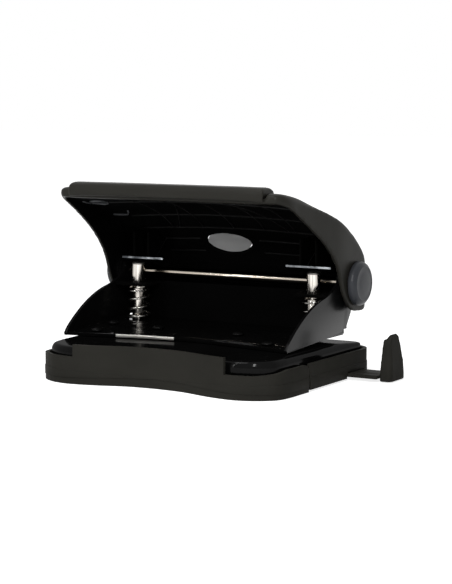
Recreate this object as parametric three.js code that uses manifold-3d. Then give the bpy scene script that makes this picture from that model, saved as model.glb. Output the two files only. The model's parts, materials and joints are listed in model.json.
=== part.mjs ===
// Two-hole desk punch: a folded steel frame on a pressed base plate, two sprung punch pins, a lever
// handle on a cross axle, a paper guide, and a moulded chip tray whose front half swings down.
// Millimetres. +X is the side of the paper guide, -Y the front edge of the handle, +Z up.
// The origin is on the table, midway between the two punch pins.

import * as THREE from 'three';
import { mergeVertices } from 'three/addons/utils/BufferGeometryUtils.js';
import Module from 'manifold-3d';

// ---------------------------------------------------------------- driving dimensions

const holeSpacing = 80;
const gap = 0.3;
const runningGap = 0.08;
const far = 120;

const pinRadius = 2.75;
const pinTopZ = 41.5;
const pinTipZ = 17;
const pinDomeHeight = 0.9;
const pinGrooveRadius = 1.9;
const pinTipNotch = 1.2;

const clipRadius = 4.25;
const clipThickness = 0.7;
const clipZ = 30.6;
const clipMouth = 3.2;

const springWire = 0.9;
const springBottomRadius = 4.45;
const springTopRadius = 3.7;
const springTurns = 3.8;
const springStepsPerTurn = 16;

const sheet = 1.2;
const frameMargin = 9.5;
const frameFrontY = -38.7;
const frameFrontZ = 15.1;
const frameLevelY = -9;
const frameLevelZ = 16.7;
const rearWallY = 8;
const guideTabZ = 31.7;
const guideTabFrontY = -5;
const guideTabLength = 14;
const floorScoopDepth = 6.5;
const plateLugRadius = 7.2;
const frameRearCutZ = 18.8;

const axleY = 9.2;
const axleZ = 36.5;
const axleRadius = 2;
const capRadius = 8.5;
const capThickness = 3.2;
const capRimHeight = 1.2;
const capDome = 0.3;
const capBore = 1.3;

const shellWall = 1.6;
const earSpace = 4.1;
const lipInset = 4.3;
const lipY = -43.8;
const lipTopZ = 71.3;
const fairingRise = 1.6;
const fairingRounding = 4;
const crownFront = 0.7;
const crownBack = 2.8;
const hubRadius = 7.6;

const gripInset = 6.8;
const gripCornerRadius = 1.6;
const gripRise = 3.8;
const gripPanelThickness = 1.3;
const gripPanelEndY = -16;

const wearPlateThickness = 0.9;
const wearPlateWidth = 19.5;
const wearPlateSideGap = 0.8;
const wearPlateFrontY = -0.8;
const wearPlateLength = 6.5;
const wearPlateTilt = THREE.MathUtils.degToRad(20);
const wearPlatePinGap = 0.55;
const wearRibThickness = 1;
const wearRibPlaces = [-43.4, -36.6, 33, 39.8];
const wearRibFrontY = 1.4;
const wearRibTopZ = 53.5;

const badgeHalfWidth = 9.8;
const badgeHalfHeight = 5.1;
const badgePlace = [-6.9, 14.6, 47.6];
const badgeTilt = THREE.MathUtils.degToRad(46);
const badgeProud = 0.4;

const trayCentreX = 2;
const trayMargin = 2.9;
const trayRearY = 23.9;
const trayCornerRadius = 9;
const trayCreaseZ = 5.5;
const trayCreaseDip = 1.8;
const trayCreaseStep = 0.2;
const trayWall = 1.5;
const trayLedge = 2;
const trayFloor = 1.5;
const trayBottomZ = 0.8;
const trayRimZ = 10.5;
const splitY = -30.3;
const splitGap = 1.3;
const frontLipHalfWidth = 32.9;
const frontLipZ = 15.1;
const guideSideRimZ = 9;
const flapBottomZ = 0.15;
const flapHingeZ = 1.2;
const knuckleRadius = 1.05;
const knucklePegRadius = 0.5;
const knuckleWidth = 3.2;
const knuckleInset = 9.7;

const plateSheet = 1.4;
const plateSideGap = 0.9;
const plateRimZ = 8.6;
const plateNoseZ = 13.8;
const plateUnderFrame = 0.35;
const stopY = -12;
const tableStartZ = 16;
const tablePinZ = 14.1;
const tableRearZ = 12;

const footLength = 14;
const footWidth = 4.4;
const footHeight = 1.1;
const footInset = 12;
const footFrontY = -24;
const footRearY = 18.7;

const barWidth = 13.7;
const barThickness = 1.4;
const barBottomZ = 1.4;
const barCentreY = 7.35;
const barStartX = -45;
const strapWidth = 8;
const strapBottomZ = 0.35;
const barEndX = 66.6;
const stopFloorGap = 0.4;
const stopThickness = 4.9;
const stopFrontY = 2.1;
const stopLength = 13.7;
const stopTopZ = 18.4;
const stopShoulderZ = 16.5;

const rivetHeadRadius = 2.4;
const rivetHeadHeight = 1.1;
const rivetShankRadius = 1.2;
const rivetInsets = [[8.5, -17], [11.5, -33], [31.5, -20]];

// ---------------------------------------------------------------- working values from the above

const pinX = holeSpacing / 2;
const frameHalfWidth = pinX + frameMargin;
const frameInnerX = frameHalfWidth - sheet;
const earHalfWidth = frameHalfWidth + earSpace;
const earInnerX = earHalfWidth - shellWall;
const hubInnerX = frameHalfWidth + gap;
const lipHalfWidth = earHalfWidth - lipInset;
const gripHalfWidth = lipHalfWidth - gripInset;
const fairingTopZ = lipTopZ + fairingRise;
const gripTopZ = lipTopZ + gripRise;
const rivetPlaces = rivetInsets.map(([inset, y]) => [frameHalfWidth - inset, y]);
const wearPlateOuterX = frameInnerX - wearPlateSideGap;
const wearPlateInnerX = wearPlateOuterX - wearPlateWidth;
const trayHalfWidth = frameHalfWidth + trayMargin;
const trayInnerHalf = trayHalfWidth - trayWall;
const hingeX = trayHalfWidth - knuckleInset;
const footX = trayHalfWidth - footInset;
const trayTopOfFloorZ = trayBottomZ + trayFloor;
const flapKnuckleHalf = 2;
const pegHalfLength = 5;
const hingePlaces = [trayCentreX - hingeX, trayCentreX + hingeX];
const strapPlaces = [[barStartX + 7, strapBottomZ], [0, 0], [footX + 2.3, strapBottomZ]];
const springBottomZ = frameLevelZ + sheet + gap + springWire / 2;
const springTopZ = clipZ - gap - springWire / 2;
const frameFloorZ = (y) => (y < frameLevelY
  ? frameFrontZ + (frameLevelZ - frameFrontZ) * (y - frameFrontY) / (frameLevelY - frameFrontY)
  : frameLevelZ);

// ---------------------------------------------------------------- geometry helpers

const wasm = await Module();
wasm.setup();

const alongX = new THREE.Matrix4().makeBasis(
  new THREE.Vector3(0, 1, 0), new THREE.Vector3(0, 0, 1), new THREE.Vector3(1, 0, 0));
const alongY = new THREE.Matrix4().makeBasis(
  new THREE.Vector3(1, 0, 0), new THREE.Vector3(0, 0, 1), new THREE.Vector3(0, -1, 0));

function toSolid(geometry) {
  const bare = geometry.clone();
  bare.deleteAttribute('normal');
  bare.deleteAttribute('uv');
  const merged = mergeVertices(bare, 1e-4);
  return new wasm.Manifold(new wasm.Mesh({
    numProp: 3,
    vertProperties: new Float32Array(merged.attributes.position.array),
    triVerts: new Uint32Array(merged.index.array),
  }));
}

function toGeometry(solid) {
  const mesh = solid.getMesh();
  const geometry = new THREE.BufferGeometry();
  geometry.setAttribute('position', new THREE.BufferAttribute(mesh.vertProperties, 3));
  geometry.setIndex(new THREE.BufferAttribute(mesh.triVerts, 1));
  geometry.computeVertexNormals();
  return geometry;
}

const join = (first, ...others) => others.reduce((sum, other) => sum.add(other), first);
const cut = (first, ...others) => others.reduce((rest, other) => rest.subtract(other), first);
const common = (first, ...others) => others.reduce((rest, other) => rest.intersect(other), first);

function shapeOf(points) {
  return new THREE.Shape(points.map(([a, b]) => new THREE.Vector2(a, b)));
}

function extruded(points, from, to, basis, steps = 1) {
  const geometry = new THREE.ExtrudeGeometry(shapeOf(points), {
    depth: to - from, bevelEnabled: false, steps,
  });
  if (basis === alongY) geometry.translate(0, 0, -to);
  else geometry.translate(0, 0, from);
  if (basis) geometry.applyMatrix4(basis);
  return geometry;
}

const extrudeX = (points, x0, x1) => toSolid(extruded(points, x0, x1, alongX));
const extrudeY = (points, y0, y1) => toSolid(extruded(points, y0, y1, alongY));
const extrudeZ = (points, z0, z1) => toSolid(extruded(points, z0, z1, null));

// A solid through a stack of rings: the same number of points in each, each ring at its own height.
function lofted(rings) {
  const count = rings[0].points.length;
  const corners = rings.flatMap(({ points, z }) => points.flatMap(([x, y]) => [x, y, z]));
  const faces = [];
  for (let start = 0; start < count * (rings.length - 1); start += count) {
    for (let i = 0; i < count; i += 1) {
      const [a, b] = [start + i, start + (i + 1) % count];
      faces.push(a, b, b + count, a, b + count, a + count);
    }
  }
  const cap = ({ points }) => THREE.ShapeUtils.triangulateShape(
    points.map(([x, y]) => new THREE.Vector2(x, y)), []);
  const top = count * (rings.length - 1);
  cap(rings[0]).forEach(([a, b, c]) => faces.push(c, b, a));
  cap(rings[rings.length - 1]).forEach(([a, b, c]) => faces.push(top + a, top + b, top + c));
  const geometry = new THREE.BufferGeometry();
  geometry.setAttribute('position', new THREE.Float32BufferAttribute(corners, 3));
  geometry.setIndex(faces);
  return toSolid(geometry);
}

function box([x0, x1], [y0, y1], [z0, z1]) {
  const geometry = new THREE.BoxGeometry(x1 - x0, y1 - y0, z1 - z0);
  geometry.translate((x0 + x1) / 2, (y0 + y1) / 2, (z0 + z1) / 2);
  return toSolid(geometry);
}

function cylinderZ(x, y, radius, z0, z1, sides = 32) {
  const geometry = new THREE.CylinderGeometry(radius, radius, z1 - z0, sides);
  geometry.rotateX(Math.PI / 2);
  geometry.translate(x, y, (z0 + z1) / 2);
  return toSolid(geometry);
}

function cylinderX(y, z, radius, x0, x1, sides = 32) {
  const geometry = new THREE.CylinderGeometry(radius, radius, x1 - x0, sides);
  geometry.rotateZ(Math.PI / 2);
  geometry.translate((x0 + x1) / 2, y, z);
  return toSolid(geometry);
}

// A polygon's vertices lie on its circle, so a hole is made a little larger than its flats need.
const holeRadius = (radius, clearance, sides = 32) => (radius + clearance) / Math.cos(Math.PI / sides);

function smooth(points, divisions) {
  const curve = new THREE.SplineCurve(points.map(([a, b]) => new THREE.Vector2(a, b)));
  return curve.getPoints(divisions).map((p) => [p.x, p.y]);
}

function arc([a, b], radius, fromDegrees, toDegrees, divisions = 8) {
  const start = THREE.MathUtils.degToRad(fromDegrees);
  const sweep = THREE.MathUtils.degToRad(toDegrees - fromDegrees);
  return Array.from({ length: divisions + 1 }, (_, i) => {
    const angle = start + sweep * i / divisions;
    return [a + radius * Math.cos(angle), b + radius * Math.sin(angle)];
  });
}

// Moves every point of a closed outline to its left by the distance, mitred at the corners.
function offset(points, distance, closed = true) {
  const count = points.length;
  return points.map((point, i) => {
    const before = points[closed ? (i + count - 1) % count : Math.max(i - 1, 0)];
    const after = points[closed ? (i + 1) % count : Math.min(i + 1, count - 1)];
    const normals = [[before, point], [point, after]]
      .map(([p, q]) => [-(q[1] - p[1]), q[0] - p[0]])
      .map(([a, b]) => [a, b, Math.hypot(a, b)])
      .filter(([, , length]) => length > 1e-9)
      .map(([a, b, length]) => [a / length, b / length]);
    const sum = normals.reduce(([a, b], [c, d]) => [a + c, b + d], [0, 0]);
    const size = Math.hypot(...sum);
    const [a, b] = [sum[0] / size, sum[1] / size];
    const mitre = Math.max(a * normals[0][0] + b * normals[0][1], 0.4);
    return [point[0] + a * distance / mitre, point[1] + b * distance / mitre];
  });
}

const mirrored = (half) => [...half, ...half.map(([a, b]) => [-a, b]).reverse()];

function material(color, roughness, metalness) {
  return new THREE.MeshStandardMaterial({ color, roughness, metalness });
}

const glossBlackSteel = material(0x0b0b0c, 0.12, 0.6);
const satinBlackPlastic = material(0x17181a, 0.45, 0);
const greyBlackPlastic = material(0x222422, 0.6, 0);
const capPlastic = material(0x2c2f36, 0.35, 0);
const nickel = material(0xc9c5bd, 0.2, 1);
const zinc = material(0xb9bcc2, 0.28, 1);
const badgeGrey = material(0xb4b4b2, 0.5, 0);
const blackRubber = material(0x101010, 0.9, 0);

const punch = new THREE.Group();

function place(name, shape, finish, [x, y, z] = [0, 0, 0], parent = punch) {
  const geometry = shape.isBufferGeometry ? shape : toGeometry(shape);
  const mesh = new THREE.Mesh(geometry, finish);
  mesh.name = name;
  mesh.position.set(x, y, z);
  parent.add(mesh);
  return mesh;
}

// ---------------------------------------------------------------- chip tray: skirt, flap, feet

function trayOutline() {
  const half = trayHalfWidth;
  const wave = smooth([[0, -53.2], [12, -54.3], [half - 28.2, -58], [half - 18.2, -59.8],
    [half - 12.2, -59.2], [half - 7.2, -57.2], [half - 2.6, -53.6], [half - 0.6, -49.5], [half, -43]], 30);
  const corner = arc([half - trayCornerRadius, trayRearY - trayCornerRadius], trayCornerRadius, 0, 90);
  return mirrored([...wave.slice(1), ...corner]).concat([wave[0]])
    .map(([x, y]) => [x + trayCentreX, y]);
}

const outline = trayOutline();

const acrossTray = (half) => [trayCentreX - half, trayCentreX + half];

// The tray's lower band stands out by a small step, whose edge dips in the middle of the front.
function trayBody(bottomZ, y0, y1) {
  const lowZ = trayCreaseZ - trayCreaseDip;
  const crease = smooth([[0, lowZ], [14, lowZ + 0.3], [28, trayCreaseZ - 0.6], [44, trayCreaseZ]], 8);
  const underCrease = extrudeY(mirrored([[far, 0], [far, trayCreaseZ], ...crease.slice(1).reverse()])
    .concat([crease[0]]).map(([x, z]) => [x + trayCentreX, z]), -far, far);
  const band = common(extrudeZ(offset(outline, -trayCreaseStep), bottomZ, trayCreaseZ), underCrease);
  return common(join(extrudeZ(outline, bottomZ, trayRimZ), band), box([-far, far], [y0, y1], [0, far]));
}

function baseSkirt() {
  const rearSplit = splitY + splitGap / 2;
  const channelSide = barWidth / 2 + gap;
  const roofZ = barBottomZ + barThickness + gap;
  const acrossChannel = [barCentreY - channelSide - sheet, barCentreY + channelSide + sheet];
  const room = extrudeZ(offset(outline, trayWall), plateRimZ - 0.4, far);
  const lowerRoom = extrudeZ(offset(outline, trayWall + trayLedge), trayTopOfFloorZ, far);
  const channelBlock = box(acrossTray(trayInnerHalf), acrossChannel, [0, roofZ + sheet]);
  const channel = box([barStartX - 1.5, far],
    [barCentreY - channelSide, barCentreY + channelSide], [-far, roofZ]);
  const straps = strapPlaces.map(([x, bottomZ]) => box(
    [x - strapWidth / 2, x + strapWidth / 2], acrossChannel, [bottomZ, barBottomZ - gap]));
  const body = cut(trayBody(trayBottomZ, rearSplit, far), room, cut(lowerRoom, channelBlock), channel);
  const pads = footPlaces().map(([x, y]) => box(
    [x - footLength / 2 - gap, x + footLength / 2 + gap],
    [y - footWidth / 2 - gap, y + footWidth / 2 + gap], [-far, footHeight + gap]));
  const crossWall = box(acrossTray(trayInnerHalf), [rearSplit, rearSplit + trayWall],
    [trayBottomZ, trayTopOfFloorZ + 1]);
  const knuckles = hingePlaces.flatMap((x) => [-1, 1].map((side) => {
    const middle = x + side * (knuckleWidth + knuckleWidth / 2 - 0.8);
    const [a, b] = [middle - knuckleWidth / 2, middle + knuckleWidth / 2];
    const arm = box([a, b], [splitY, rearSplit + 1], [flapHingeZ - 0.4, flapHingeZ + knuckleRadius]);
    return join(cylinderX(splitY, flapHingeZ, knuckleRadius, a, b, 20), arm);
  }));
  const pegRoom = hingePlaces.map((x) => cylinderX(splitY, flapHingeZ,
    holeRadius(knucklePegRadius, runningGap, 20), x - pegHalfLength - 3, x + pegHalfLength + 3, 20));
  const flapRoom = hingePlaces.map((x) => box([x - flapKnuckleHalf - gap, x + flapKnuckleHalf + gap],
    [-far, splitY + knuckleRadius + gap], [-far, trayTopOfFloorZ + 2]));
  return cut(join(body, crossWall, ...straps, ...knuckles), ...pads, ...pegRoom, ...flapRoom);
}

function chipFlap() {
  const frontSplit = splitY - splitGap / 2;
  const raised = common(extrudeZ(outline, flapBottomZ, frontLipZ),
    box(acrossTray(frontLipHalfWidth), [-far, -50], [0, far]));
  const roundedCorner = cut(
    box([-far, far], [frontSplit - 3, frontSplit + 1], [trayRimZ - 3, far]),
    cylinderX(frontSplit - 3, trayRimZ - 3, 3, -far, far, 48));
  const room = extrudeZ(offset(outline, trayWall), flapBottomZ + trayFloor, far);
  const lowRim = extrudeX([[-far, guideSideRimZ], [-56, guideSideRimZ], [-46, trayRimZ], [-46, trayRimZ + 1],
    [-far, trayRimZ + 1]], trayCentreX + frontLipHalfWidth, far);
  const body = cut(join(trayBody(flapBottomZ, -far, frontSplit), raised), room, roundedCorner, lowRim);
  const hingeBar = box(acrossTray(trayInnerHalf), [frontSplit - 2, frontSplit],
    [flapBottomZ, flapHingeZ + knuckleRadius]);
  const knuckles = hingePlaces.map((x) => {
    const [a, b] = [x - flapKnuckleHalf, x + flapKnuckleHalf];
    const arm = box([a, b], [frontSplit - 1, splitY], [flapBottomZ, flapHingeZ + 0.4]);
    return join(cylinderX(splitY, flapHingeZ, knuckleRadius, a, b, 20), arm,
      cylinderX(splitY, flapHingeZ, knucklePegRadius, x - pegHalfLength, x + pegHalfLength, 20));
  });
  const relief = hingePlaces.flatMap((x) => [-1, 1].map((side) => {
    const middle = x + side * (knuckleWidth + knuckleWidth / 2 - 0.8);
    return box([middle - knuckleWidth / 2 - gap, middle + knuckleWidth / 2 + gap],
      [frontSplit - 1, far], [-far, far]);
  }));
  return join(cut(join(body, hingeBar), ...relief), ...knuckles);
}

function footPlaces() {
  return [footFrontY, footRearY].flatMap((y) => [[trayCentreX - footX, y], [trayCentreX + footX, y]]);
}

function foot() {
  return box([-footLength / 2, footLength / 2], [-footWidth / 2, footWidth / 2], [0, footHeight]);
}

// ---------------------------------------------------------------- base plate

// The plate's front half lies just under the frame's floor, and its rear half is the sloping table
// that the paper slides in over, up to the step at stopY.
const plateTop = [[-far, plateNoseZ - 1.6], [-57, plateNoseZ],
  [frameFrontY, frameFrontZ - plateUnderFrame], [stopY, frameFloorZ(stopY) - plateUnderFrame]];
const tableTop = [[stopY, tableStartZ], [0, tablePinZ], [trayRearY, tableRearZ], [far, tableRearZ]];

// How far in from the tray's wall the plate's rim has come at each height.
const plateRim = [[0, 0], [0, 11.7], [0.2, 12.6], [0.7, 13.5], [1.5, 14.2], [2.6, 14.7],
  [3.6, 15.1], [4.2, 17]];

function plateForm(inset) {
  const rim = lofted(plateRim.map(([inwards, z]) => (
    { points: offset(outline, trayWall + plateSideGap + inset + inwards), z: Math.max(z - inset, 0) })));
  const frontTop = extrudeX([...plateTop.map(([y, z]) => [y, z - inset]), [stopY, 0], [-far, 0]], -far, far);
  const rearTop = extrudeX([...tableTop.map(([y, z]) => [y, z - inset]), [far, 0], [stopY - 0.1, 0],
    [stopY - 0.1, tableStartZ - inset]], -far, far);
  return common(rim, join(frontTop, rearTop));
}

function basePlate() {
  const hollow = common(plateForm(plateSheet), box([-far, far], [-far, far], [0, far]));
  const skin = cut(plateForm(0), hollow, box([-far, far], [-far, far], [-1, plateRimZ]));
  const dies = [-pinX, pinX].map((x) => cylinderZ(x, 0,
    holeRadius(pinRadius, runningGap), 0, far));
  const rivetHoles = rivetSpots().map(([x, y]) => cylinderZ(x, y, rivetShankRadius + gap, 0, far, 20));
  return cut(skin, ...dies, ...rivetHoles);
}

function rivetSpots() {
  return rivetPlaces.flatMap(([x, y]) => [[x, y], [-x, y]]);
}

function rivet(y) {
  const underHead = frameFloorZ(y + 3) + sheet + gap - 0.1;
  const tail = frameFloorZ(y - 3) - plateUnderFrame - plateSheet - gap - 0.1;
  const profile = [[0, tail - 0.8], [rivetHeadRadius - 0.6, tail - 0.6], [rivetHeadRadius - 0.4, tail],
    [rivetShankRadius, tail], [rivetShankRadius, underHead], [rivetHeadRadius, underHead],
    [rivetHeadRadius - 0.3, underHead + rivetHeadHeight * 0.6],
    [rivetHeadRadius * 0.5, underHead + rivetHeadHeight * 0.95], [0, underHead + rivetHeadHeight]];
  return turned(profile, 18);
}

function turned(profile, sides = 32) {
  const geometry = new THREE.LatheGeometry(
    profile.map(([r, z]) => new THREE.Vector2(r, z)), sides);
  geometry.rotateX(Math.PI / 2);
  return toSolid(geometry);
}

// ---------------------------------------------------------------- frame

function frame() {
  const rear = rearWallY + sheet;
  const scoopY = frameFrontY + floorScoopDepth;
  const floorPlan = mirrored([...smooth([[0, scoopY],
    [frameHalfWidth * 0.32, scoopY - floorScoopDepth * 0.19],
    [frameHalfWidth * 0.65, scoopY - floorScoopDepth * 0.57],
    [frameHalfWidth, frameFrontY]], 16), [frameHalfWidth, rear]]);
  const floor = common(
    extrudeX([[frameFrontY, frameFrontZ], [frameLevelY, frameLevelZ], [rear, frameLevelZ],
      [rear, frameLevelZ + sheet], [frameLevelY, frameLevelZ + sheet],
      [frameFrontY, frameFrontZ + sheet]], -frameHalfWidth, frameHalfWidth),
    extrudeZ(floorPlan, 0, far));
  const rearWall = box([-frameHalfWidth, frameHalfWidth], [rearWallY, rear],
    [frameLevelZ, guideTabZ + sheet]);
  const tabOuterX = frameInnerX - gap;
  const tabs = [[tabOuterX - guideTabLength, tabOuterX], [-tabOuterX, guideTabLength - tabOuterX]]
    .map(([a, b]) => box([a, b], [guideTabFrontY, rearWallY + 0.1], [guideTabZ, guideTabZ + sheet]));
  const sides = [[frameInnerX, frameHalfWidth], [-frameHalfWidth, -frameInnerX]]
    .map(([a, b]) => extrudeX(sidePlateOutline(), a, b));
  const pinHoles = [-pinX, pinX].map((x) => cylinderZ(x, 0, holeRadius(pinRadius, runningGap), 0, far));
  const shanks = rivetSpots().map(([x, y]) => cylinderZ(x, y, rivetShankRadius + gap, 0, far, 20));
  const axleHole = cylinderX(axleY, axleZ, holeRadius(axleRadius, runningGap), -far, far);
  const corners = [[frameInnerX, far], [-far, -frameInnerX]]
    .map((across) => box(across, [rearWallY - 1.8, far], [0, frameRearCutZ]));
  return cut(join(floor, rearWall, ...tabs, ...sides), ...pinHoles, ...shanks, axleHole, ...corners);
}

function sidePlateOutline() {
  const brow = smooth([[frameFrontY - 0.3, frameFrontZ + 0.9], [-37, 18.4], [-32.2, 22.1], [-25.8, 26.1],
    [-19, 29.3], [-12.8, 31.3], [-7, 32.6], [-1.5, 34.6]], 22);
  return [...brow, ...arc([axleY, axleZ], plateLugRadius, 175, -10, 14), [15, 30], [12.5, 24.6],
    [8.4, frameRearCutZ], [6.2, frameRearCutZ], [4.8, frameLevelZ], [frameLevelY, frameLevelZ],
    [frameFrontY, frameFrontZ]]
    .reverse();
}

// ---------------------------------------------------------------- pins, clips, springs

function pin() {
  const grooveZ = clipZ - 0.15;
  const profile = [[0, pinTipZ + pinTipNotch], [pinRadius * 0.5, pinTipZ + pinTipNotch * 0.5],
    [pinRadius, pinTipZ], [pinRadius, grooveZ], [pinGrooveRadius, grooveZ],
    [pinGrooveRadius, grooveZ + clipThickness + 0.3], [pinRadius, grooveZ + clipThickness + 0.3],
    [pinRadius, pinTopZ - pinDomeHeight], [pinRadius * 0.87, pinTopZ - pinDomeHeight * 0.55],
    [pinRadius * 0.5, pinTopZ - pinDomeHeight * 0.14], [0, pinTopZ]];
  return turned(profile, 28);
}

function eClip() {
  const bore = pinGrooveRadius + gap;
  const ring = cut(cylinderZ(0, 0, clipRadius, clipZ, clipZ + clipThickness),
    cylinderZ(0, 0, bore, clipZ - 1, clipZ + clipThickness + 1));
  return cut(ring, box([-clipMouth / 2, clipMouth / 2], [-far, 0], [0, far]));
}

class SpringPath extends THREE.Curve {
  getPoint(t, target = new THREE.Vector3()) {
    const closed = 0.16;
    const rise = THREE.MathUtils.clamp((t - closed) / (1 - 2 * closed), 0, 1);
    const lie = t < closed ? t / closed : 1;
    const end = t > 1 - closed ? (t - 1 + closed) / closed : 0;
    const height = springTopZ - springBottomZ;
    const radius = THREE.MathUtils.lerp(springBottomRadius, springTopRadius, t);
    const angle = t * springTurns * 2 * Math.PI;
    return target.set(radius * Math.cos(angle), radius * Math.sin(angle),
      springBottomZ + springWire * lie * 1.05 + (height - springWire * 2.1) * rise
      + springWire * end * 1.05);
  }
}

function spring() {
  const section = new THREE.Shape(arc([0, 0], springWire / 2, 0, 360 - 45, 7)
    .map(([a, b]) => new THREE.Vector2(a, b)));
  return new THREE.ExtrudeGeometry(section, {
    steps: Math.round(springTurns * springStepsPerTurn), extrudePath: new SpringPath(), bevelEnabled: false,
  });
}

// ---------------------------------------------------------------- axle and its caps

function axle() {
  const half = earHalfWidth + capBore;
  return cylinderX(axleY, axleZ, axleRadius, -half, half);
}

function pivotCap() {
  const face = capThickness;
  const profile = [[0, capBore + gap], [axleRadius + gap, capBore + gap], [axleRadius + gap, 0],
    [capRadius - 0.2, 0], [capRadius, 0.2], [capRadius, capRimHeight],
    [capRadius - 0.15, capRimHeight + 0.5], [capRadius - 0.5, capRimHeight + 1.1],
    [capRadius - 1.1, capRimHeight + 1.6], [capRadius - 1.9, face], [capRadius - 2.3, face - 0.1],
    [capRadius * 0.5, face + capDome * 0.6], [capRadius * 0.25, face + capDome * 0.9],
    [0, face + capDome]];
  return turned(profile, 36);
}

// ---------------------------------------------------------------- handle

// The handle's top line in the Y-Z plane, from the front lip over the top and down the back.
const handleTop = [[lipY, 40], ...smooth([[lipY, lipTopZ], [-37, 70.3], [-30.8, 69.1],
  [-18.7, 66.6], [-6.4, 62.5], [2, 58.6], [9.5, 53.4], [14.6, 49], [18, 44.6], [19.5, 40]], 18),
  [19.8, 35], [19.4, 31], [18.6, 28], [18.4, 12]];

// The lower edge of the two ears.
const earEdge = [[-far, 69.6], ...smooth([[lipY - 1, 69.5], [-39.1, 68.2], [-34.6, 66.2],
  [-24.3, 60.1], [-15, 53.8], [-8.6, 47.8], [-5, 42.8], [-3.2, 38], [-1.4, 34], [0.9, 30.6],
  [4.2, 27.4], [8, 25.9], [12, 25.6]], 34), [far, 25.6]];

function crowned(geometry) {
  const places = geometry.attributes.position;
  const point = new THREE.Vector3();
  for (let i = 0; i < places.count; i += 1) {
    point.fromBufferAttribute(places, i);
    const across = 1 - Math.min((point.x / earHalfWidth) ** 2, 1);
    const back = THREE.MathUtils.smoothstep(point.y, lipY, -8);
    const rise = across * THREE.MathUtils.lerp(crownFront, crownBack, back);
    const reach = Math.hypot(point.y + 25, point.z - 10);
    point.y += rise * (point.y + 25) / reach;
    point.z += rise * (point.z - 10) / reach;
    places.setXYZ(i, point.x, point.y, point.z);
  }
  return geometry;
}

function handlePlan(inset) {
  const half = [...smooth([[lipHalfWidth - 5, lipY - 3], [lipHalfWidth - 1.5, lipY + 1.2],
    [lipHalfWidth + 0.8, -38], [earHalfWidth - 3.1, -32], [earHalfWidth - 2.2, -22],
    [earHalfWidth - 1, -12], [earHalfWidth - 0.2, -4], [earHalfWidth, 4],
    [earHalfWidth, 14]], 28), [earHalfWidth, 16.5], [earHalfWidth - 1.2, 19.2],
  [earHalfWidth - 4, far]];
  const plan = offset(mirrored([[0, -far], [lipHalfWidth - 5, -far], ...half]), inset);
  return extrudeZ(plan, 0, far);
}

function handleForm(inset) {
  const line = offset(handleTop, -inset, false);
  const half = earHalfWidth + 8;
  return common(toSolid(crowned(extruded([...line].reverse(), -half, half, alongX, 16))),
    handlePlan(inset));
}

// The front corners of the handle, beside the grip, swell up level with its bar and round off outwards.
function fairingForm() {
  const line = [[lipY, 40], ...smooth([[lipY, fairingTopZ - 0.8], [lipY + 1, fairingTopZ],
    [lipY + 4.3, fairingTopZ], [lipY + 8.8, fairingTopZ - 0.9], [lipY + 15.8, fairingTopZ - 2.7],
    [-18.7, fairingTopZ - 5.9]], 12), [-18.7, 60]];
  const half = earHalfWidth + 8;
  const r = fairingRounding;
  const face = extrudeY(mirrored([[lipHalfWidth + 0.6, 40],
    ...arc([lipHalfWidth + 0.6 - r, fairingTopZ + 0.9 - r], r, 0, 80, 8)]), -far, far);
  return common(toSolid(crowned(extruded(line.reverse(), -half, half, alongX, 16))), handlePlan(0), face);
}

const belowEars = extrudeX([...earEdge, [far, -far], [-far, -far]].reverse(), -far, far);

const wearPlateLine = (y) => pinTopZ + wearPlatePinGap - y * Math.tan(wearPlateTilt);

function ovalPlug(grow) {
  const outline = arc([0, 0], 1, 0, 350, 35)
    .map(([a, b]) => [a * (badgeHalfWidth + grow), b * (badgeHalfHeight + grow)]);
  const geometry = extruded(outline, -6, 10, null);
  geometry.rotateX(-badgeTilt);
  geometry.translate(...badgePlace);
  return toSolid(geometry);
}

function ovalBadge() {
  return cut(common(ovalPlug(0), handleForm(-badgeProud)), handleForm(shellWall - badgeProud));
}

function handleShell() {
  const skin = cut(handleForm(0), handleForm(shellWall));
  const wearGap = wearPlateThickness + gap;
  const plateEndY = wearPlateFrontY + wearPlateLength;
  const ribs = wearRibPlaces.map((x) => common(
    extrudeX([[wearRibFrontY, wearPlateLine(wearRibFrontY) + wearGap],
      [plateEndY, wearPlateLine(plateEndY) + wearGap], [far, wearPlateLine(plateEndY) + wearGap],
      [far, wearRibTopZ + 1], [wearRibFrontY, wearRibTopZ]],
    x - wearRibThickness / 2, x + wearRibThickness / 2),
    handleForm(shellWall / 2)));
  const fairings = [[gripHalfWidth + gap, far], [-far, -gripHalfWidth - gap]].map((across) => cut(
    common(fairingForm(), box(across, [-far, far], [0, far])), handleForm(shellWall / 2)));
  const hubs = [-1, 1].map((side) => {
    const [a, b] = [side * hubInnerX, side * (earInnerX + shellWall / 2)].sort((p, q) => p - q);
    return common(cylinderX(axleY, axleZ, hubRadius, a, b, 40), handleForm(shellWall / 2));
  });
  const bore = cylinderX(axleY, axleZ, holeRadius(axleRadius, runningGap), -far, far);
  return cut(join(skin, ...ribs, ...hubs, ...fairings), belowEars, bore, ovalPlug(gap));
}

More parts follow.
